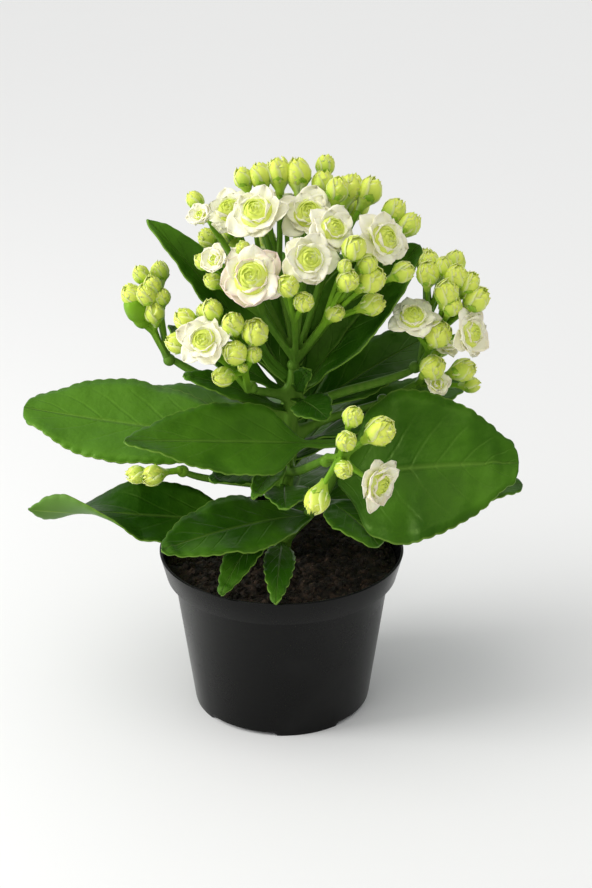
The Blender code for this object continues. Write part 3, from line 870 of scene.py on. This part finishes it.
def make_bud(bm, bud, sizes, rng):
    """Closed bud: a turned core, sepals, wide petals wound round it and a ragged crown of tips."""
    centre, axis, radius = bud
    spin = rng.uniform(0, math.tau)
    ripe = min(max((radius / MM - 2.5) / 2.8, 0), 1)
    turned(bm, facing(centre, axis, spin), BUD_OUTLINE, radius, 8, 10, 0.30 + 0.2 * ripe)
    for i in range(4):
        turn = math.tau * i / 4 + rng.uniform(-0.1, 0.1)
        sheet(bm, 4, 2, bud_petal(bud, spin, turn, rng.uniform(-16, 0), 0.60, 0.10, 0.0), 0.0)
    count = sizes.bud_petals
    for i in range(count):
        level = i / (count - 1)
        top = 46 + 22 * level + rng.uniform(-5, 5)
        spread = 1.02 * rng.uniform(0.92, 1.08)
        flare = 0.05 + 0.10 * ripe * (1 - level) + rng.uniform(-0.02, 0.05)
        place = bud_petal(bud, spin, i * GOLDEN_ANGLE, top, spread, flare, 0.045)
        sheet(bm, 5, 4, place, 0.25 + 0.25 * level + 0.25 * ripe + rng.uniform(-0.07, 0.07))
    for i in range(sizes.crown_tips):
        turn = i * GOLDEN_ANGLE + rng.uniform(-0.3, 0.3)
        top = 62 + 25 * i / sizes.crown_tips
        place = bud_petal(bud, spin, turn, top, rng.uniform(0.7, 1.0), rng.uniform(0.12, 0.26), 0.06, 22)
        sheet(bm, 3, 2, place, 0.55 + 0.3 * ripe + rng.uniform(-0.1, 0.1))


# ---------- flowers
class Bloom(NamedTuple):
    """How one flower is grown: how far it is open, its blush and its petals' reach"""

    openness: float = 1.0
    blush: float = 0.12
    growth: float = PETAL_GROWTH


BLOOMS = {
    "flower_front_left": Bloom(blush=0.45, growth=1.35),
    "flower_left_small": Bloom(openness=0.45, blush=0.1, growth=1.15),
    "flower_left_end": Bloom(openness=0.5, blush=0.1, growth=1.2),
    "flower_right_shaded": Bloom(openness=0.5, blush=0.1, growth=1.2),
    "flower_right_behind": Bloom(openness=0.6, blush=0.1, growth=1.2),
    "flower_front_low": Bloom(openness=0.8, blush=0.25, growth=1.2),
    "flower_right_side": Bloom(openness=0.85, blush=0.2, growth=1.2),
}


def open_petal(matrix, turn, root, length, width, start, end, cup, wave, phase):
    """Place of a spreading petal: it leaves the eye at the angle start and ends at the angle end."""
    bend = end - start if abs(end - start) > 0.01 else 0.01

    def place(along, across):
        angle = start + bend * along
        reach = root + length * (math.sin(angle) - math.sin(start)) / bend
        rise = length * (math.cos(start) - math.cos(angle)) / bend
        outline = math.sin(math.pi * (0.14 + 0.86 * along ** 1.25)) ** 0.64
        side = width * outline * across * (1 + 0.10 * noise.noise(Vector((4 * along, phase, across))))
        lift = cup * width * across ** 2 * (0.4 + 0.6 * along)
        lift += wave * width * math.sin(5.2 * along + phase + 2.6 * across) * (0.25 + abs(across)) * along
        lift += 0.34 * width * along * noise.noise(Vector((2.6 * along, 1.7 * across, phase)))
        flat = Vector((reach - lift * math.sin(angle), side, rise + lift * math.cos(angle)))
        flat.rotate(Quaternion((0, 0, 1), turn))
        return matrix @ flat

    return place


def rosette_petal(matrix, turn, radius, low, top, spread, lean):
    """Place of an upright petal in the eye, curling in at its top."""

    def place(along, across):
        swell_out = 0.35 + 0.65 * math.sin(0.5 * math.pi * min(1, along / 0.6))
        curl = 0.30 * max(0, (along - 0.6) / 0.4) ** 1.5
        flat = radius * (swell_out - curl + lean * across)
        rise = low + (top - low) * along * (1 - 0.22 * abs(across) ** 2.5)
        half = spread * (0.6 + 0.4 * math.sin(math.pi * (0.2 + 0.6 * along)))
        return matrix @ polar(turn + half * across, flat, rise)

    return place


HEART_OUTLINE = ((0.30, -0.40), (0.46, -0.22), (0.46, -0.04), (0.37, 0.09), (0.20, 0.17), (0.01, 0.20))
CALYX_OUTLINE = ((0.12, -0.62), (0.16, -0.52), (0.27, -0.42), (0.26, -0.30), (0.10, -0.24))
# whorls of open petals: how many, reach and half width as shares of the radius, the angles they
# leave the eye at and end at, and their tint
WHORLS = ((5, 1.00, 0.50, 26, -12, 1.0), (6, 0.88, 0.44, 44, 4, 0.92), (5, 0.70, 0.36, 64, 34, 0.66))


def make_flower(bm, node, sizes, rng):
    """Double flower: a domed rosette eye in whorls of spreading petals."""
    eye, axis, frame_radius = bloom_of(node)
    style = BLOOMS.get(node, Bloom())
    radius = frame_radius * style.growth
    matrix = facing(eye, axis, rng.uniform(0, math.tau))
    low = -0.32 * radius
    heart = 0.50 * (0.88 + 0.12 * style.openness)
    turned(bm, matrix, HEART_OUTLINE, radius * heart / 0.50, 6, 12, 0.0)
    turned(bm, matrix, CALYX_OUTLINE, radius, 5, 10, 0.0)
    count = sizes.rosette_petals
    for i in range(count):
        level = i / (count - 1)
        size = radius * (heart * (1 - level) ** 0.8 + 0.06)
        top = radius * (0.05 + 0.27 * level ** 0.7 + rng.uniform(-0.03, 0.04))
        place = rosette_petal(matrix, i * GOLDEN_ANGLE, size, low, top, rng.uniform(0.85, 1.2), 0.06)
        sheet(bm, 5, 6, place, 0.10 + 0.22 * (1 - level) + rng.uniform(-0.05, 0.05))
    closing = 38 * (1 - style.openness)
    root = matrix @ Matrix.Translation((0, 0, low))
    for number, (petals, reach, width, start, end, tint) in enumerate(WHORLS):
        for i in range(petals):
            turn = math.tau * (i + 0.5 * number) / petals + rng.uniform(-0.14, 0.14)
            first = math.radians(start + closing + rng.uniform(-6, 8))
            last = math.radians(end + 1.6 * closing + rng.uniform(-16, 14))
            length = (reach - PETAL_ROOT) * radius * rng.uniform(0.90, 1.22)
            place = open_petal(
                root, turn, PETAL_ROOT * radius, length, width * radius * rng.uniform(0.78, 1.10),
                first, last, rng.uniform(0.0, 0.28), rng.uniform(0.04, 0.13), rng.uniform(0, 6),
            )
            sheet(bm, 8, 8, place, tint + rng.uniform(-0.05, 0.05), style.blush * rng.uniform(0.4, 1.6))


# ---------- leaves
class Habit(NamedTuple):
    """How one leaf grows beyond its frame: teeth, waves, tip, roll of its margins, twist and tint, which is
    partly its own tone and partly painted light and shade
    """

    teeth: float = 1.0
    wave: float = 1.0
    tip: float = 0.7
    roll: float = 0.0
    twist: float = 0.0
    tint: float = 0.3


# a leaf's tint is partly its own tone and partly painted light and shade: high on leaves that catch the key
# light, such as leaf_left_top, and low on leaves in shade, such as leaf_left_bottom and leaf_right_big
HABITS = {
    "leaf_right_big": Habit(wave=0.8, tip=1.0, tint=0.20),
    "leaf_left_top": Habit(wave=0.8, tip=0.9, roll=-0.05, tint=0.75),
    "leaf_front_left": Habit(teeth=0.9, tip=0.35, twist=25, tint=0.45),
    "leaf_left_bottom": Habit(teeth=0.8, tip=0.0, roll=0.1, twist=105, tint=0.10),
    "leaf_front_low": Habit(teeth=0.9, wave=1.2, tip=0.4),
    "leaf_left_upright": Habit(teeth=0.3, wave=0.5, tip=0.3, roll=0.1),
    "leaf_right_upright": Habit(teeth=0.3, wave=0.6, tip=0.5, roll=0.1, tint=0.15),
    "leaf_front_yellow": Habit(teeth=0.5, tip=0.5, roll=0.2, tint=1.0),
}


def unit_rows(rows):
    """Rows scaled to the length 1."""
    return rows / np.maximum(np.linalg.norm(rows, axis=1), 1e-12)[:, None]


def make_leaf(node, tree, sizes, skins):
    """One leaf: a fine blade over the frame's, with crenate margins and a soft fold."""
    rng = random.Random(node)
    # a leaf without a habit takes a low, random tint: its own tone varies at random, and the low range is
    # painted shade for the leaves within the plant
    habit = HABITS.get(node, Habit(tint=rng.uniform(0.0, 0.3)))
    midline = Midline(node, tree)
    rows = max(26, round(midline.length / LEAF_STEP))
    shares = [1 - (1 - i / rows) ** 1.25 for i in range(rows + 1)]
    middles, halves, lifts = midline.sample(shares)
    shares = np.array(shares)
    closing = np.clip((shares - TIP_START) / (1 - TIP_START), 0, 1)
    at_start = np.interp(TIP_START, shares, np.linalg.norm(halves, axis=1))
    rounded = at_start * np.sqrt(1 - closing ** 2)
    pointed = at_start * (1 - closing)
    widths = np.linalg.norm(halves, axis=1)
    target = np.where(closing > 0, habit.tip * rounded + (1 - habit.tip) * pointed, widths)
    halves *= (np.maximum(target, 0.1 * MM) / np.maximum(widths, 1e-9))[:, None]
    lifts *= np.where(closing > 0, 1 - closing, 1)[:, None]
    along = unit_rows(np.gradient(middles, axis=0))
    ups = unit_rows(np.cross(along, halves))
    if (ups * lifts).sum() < 0:
        halves = -halves
        ups = -ups
    for i in range(rows + 1):
        share = max(0, shares[i] - TWIST_START) / (1 - TWIST_START)
        turn = Matrix.Rotation(math.radians(habit.twist) * share, 3, Vector(along[i]))
        for vectors in (halves, lifts, ups):
            vectors[i] = turn @ Vector(vectors[i])
    margins = {}
    for side in (-1, 1):
        edge = middles + side * halves + lifts
        tangent = unit_rows(np.gradient(edge, axis=0))
        out = side * np.cross(tangent, ups)
        if (out * halves).sum() * side < 0:
            out = -out
        walk = np.r_[0, np.cumsum(np.linalg.norm(np.diff(edge, axis=0), axis=1))]
        phase = rng.random()
        tooth = np.abs(np.sin(math.pi * (walk / sizes.tooth_pitch + phase))) ** 0.8 - 0.55
        fade = np.clip((shares - 0.22) / 0.2, 0, 1) * np.clip((1.003 - shares) / 0.02, 0.35, 1)
        margins[side] = out * (tooth * fade * habit.teeth * sizes.tooth_depth)[:, None]
    swing = rng.uniform(0, 6)
    weights = []
    bm = new_sheets()

    def place(share, across):
        i = round(share * rows)
        side = 1 if across > 0 else -1
        size = abs(across)
        weights.append(1 - 0.55 * size ** 6)
        point = middles[i] + halves[i] * across + lifts[i] * size ** 1.35
        width = np.linalg.norm(halves[i])
        ripple = 0.055 * habit.wave * math.sin(15 * shares[i] + swing + 1.3 * side) * size ** 2
        ripple += 0.03 * habit.wave * math.sin(31 * shares[i] + swing * 2 + 2 * side) * size ** 3
        point = point + ups[i] * width * (ripple + habit.roll * size ** 4)
        return Vector(point + margins[side][i] * size ** 5)

    sheet(bm, rows, LEAF_COLUMNS, place, habit.tint)
    bm.normal_update()
    if sum(face.normal.dot(Vector(ups[rows // 2])) for face in bm.faces) < 0:
        bmesh.ops.reverse_faces(bm, faces=bm.faces[:])
    leaf = add_piece(node.replace("leaf_", "blade_"), bm, skins, [node])
    thicken(leaf, sizes.leaf_thickness, 1, 2, weights)


# ---------- groups of pieces
def make_heads(scene):
    """Stalks and closed buds of every flower head."""
    sizes = scene.plant_sizes
    skin = stem_skin(scene.plant_colours)
    petals = bud_skin(scene.plant_colours)
    tree = surface_of("stem")
    for node in nodes_of("head_"):
        rng = random.Random(node)
        buds = buds_of(node)
        make_stalks(node.replace("head_", "stalks_"), node, buds, tree, sizes, skin)
        bm = new_sheets()
        for bud in buds:
            make_bud(bm, bud, sizes, rng)
        piece = add_piece(node.replace("head_", "buds_"), bm, [petals], [node])
        thicken(piece, sizes.petal_thickness)


def make_flowers(scene):
    """Every open flower."""
    sizes = scene.plant_sizes
    skin = petal_skin(scene.plant_colours)
    for node in nodes_of("flower_"):
        bm = new_sheets()
        make_flower(bm, node, sizes, random.Random(node))
        piece = add_piece(node.replace("flower_", "bloom_"), bm, [skin], [node])
        thicken(piece, sizes.petal_thickness)


def make_leaves(scene):
    """Every leaf, over the frame's blade."""
    skins = [skin(scene.plant_colours) for skin in (leaf_top, leaf_under, leaf_rim)]
    tree = surface_of("stem")
    for node in nodes_of("leaf_"):
        make_leaf(node, tree, scene.plant_sizes, skins)


def add_light(kind, name, place, tint, settings):
    """Light that faces the plant's middle from a place."""
    data = bpy.data.lights.new(name, kind)
    data.color = tint
    for key, value in settings.items():
        setattr(data, key, value)
    light = bpy.data.objects.new(name, data)
    light.location = place
    light.rotation_euler = (Vector(MIDDLE) - Vector(place)).to_track_quat("-Z", "Y").to_euler()
    bpy.context.scene.collection.objects.link(light)


def make_stage(scene):
    """Floor, backdrop, lights and camera."""
    shader = Shader("floor_paper", Specular_IOR_Level=0.1)
    speck = shader.grain(12, 3)
    tone = tuple(scene.plant_colours.floor)
    base = shader.mix(speck * 0.12, tone, tuple(0.94 * part for part in tone))
    bm = bmesh.new()
    bmesh.ops.create_grid(bm, x_segments=1, y_segments=1, size=FLOOR_REACH)
    floor = linked("floor", bm)
    floor.data.materials.append(shader.finish(base, speck * 0.1 + 0.7))

    world = bpy.data.worlds.new("studio")
    world.use_nodes = True
    backdrop = world.node_tree.nodes["Background"]
    backdrop.inputs["Color"].default_value = SKY_TINT
    backdrop.inputs["Strength"].default_value = SKY_STRENGTH
    scene.world = world
    for light in LIGHTS:
        add_light(*light)

    data = bpy.data.cameras.new("camera")
    data.sensor_width = SENSOR_WIDTH
    data.lens = CAMERA_LENS
    camera = bpy.data.objects.new("camera", data)
    camera.location = CAMERA_PLACE
    camera.rotation_euler = (CAMERA_PITCH, 0, 0)
    scene.collection.objects.link(camera)
    scene.camera = camera
    scene.view_settings.view_transform = "Standard"


# ---------- operators
class PLANT_OT_stage(bpy.types.Operator):
    """Lays the floor and sets the lights and the camera"""

    bl_idname = "plant.stage"
    bl_label = "Stage"

    def execute(self, context):
        make_stage(context.scene)
        return {"FINISHED"}


class PLANT_OT_pot(bpy.types.Operator):
    """Turns the pot from the frame's outline"""

    bl_idname = "plant.pot"
    bl_label = "Pot"

    def execute(self, context):
        make_pot(context.scene)
        return {"FINISHED"}


class PLANT_OT_soil(bpy.types.Operator):
    """Fills the pot with potting mix"""

    bl_idname = "plant.soil"
    bl_label = "Soil"

    def execute(self, context):
        make_soil(context.scene)
        return {"FINISHED"}


class PLANT_OT_stem(bpy.types.Operator):
    """Rounds off the trunk and its branches"""

    bl_idname = "plant.stem"
    bl_label = "Stem"

    def execute(self, context):
        make_stem(context.scene)
        return {"FINISHED"}


class PLANT_OT_heads(bpy.types.Operator):
    """Grows the stalks and the closed buds of every flower head"""

    bl_idname = "plant.heads"
    bl_label = "Flower heads"

    def execute(self, context):
        make_heads(context.scene)
        return {"FINISHED"}


class PLANT_OT_flowers(bpy.types.Operator):
    """Grows every open flower"""

    bl_idname = "plant.flowers"
    bl_label = "Flowers"

    def execute(self, context):
        make_flowers(context.scene)
        return {"FINISHED"}


class PLANT_OT_leaves(bpy.types.Operator):
    """Grows every leaf over the frame's blade"""

    bl_idname = "plant.leaves"
    bl_label = "Leaves"

    def execute(self, context):
        make_leaves(context.scene)
        return {"FINISHED"}


class PLANT_PT_sidebar(bpy.types.Panel):
    """Lists the plant's pieces"""

    bl_idname = "PLANT_PT_sidebar"
    bl_label = "Potted kalanchoe"
    bl_space_type = "VIEW_3D"
    bl_region_type = "UI"
    bl_category = "Plant"

    def draw(self, context):
        for step in STEPS:
            self.layout.operator(step.bl_idname)


STEPS = (
    PLANT_OT_stage, PLANT_OT_pot, PLANT_OT_soil, PLANT_OT_stem, PLANT_OT_heads, PLANT_OT_flowers,
    PLANT_OT_leaves,
)
CLASSES = (PlantSizes, PlantColours, *STEPS, PLANT_PT_sidebar)


def register():
    """Registers the classes and the settings."""
    for item in CLASSES:
        bpy.utils.register_class(item)
    bpy.types.Scene.plant_sizes = PointerProperty(type=PlantSizes)
    bpy.types.Scene.plant_colours = PointerProperty(type=PlantColours)


def unregister():
    """Takes the settings and the classes away."""
    del bpy.types.Scene.plant_sizes
    del bpy.types.Scene.plant_colours
    for item in reversed(CLASSES):
        bpy.utils.unregister_class(item)


def main():
    """Builds everything."""
    register()
    for step in STEPS:
        group, name = step.bl_idname.split(".")
        getattr(getattr(bpy.ops, group), name)()
    bpy.context.view_layer.update()


if __name__ == "__main__":
    main()
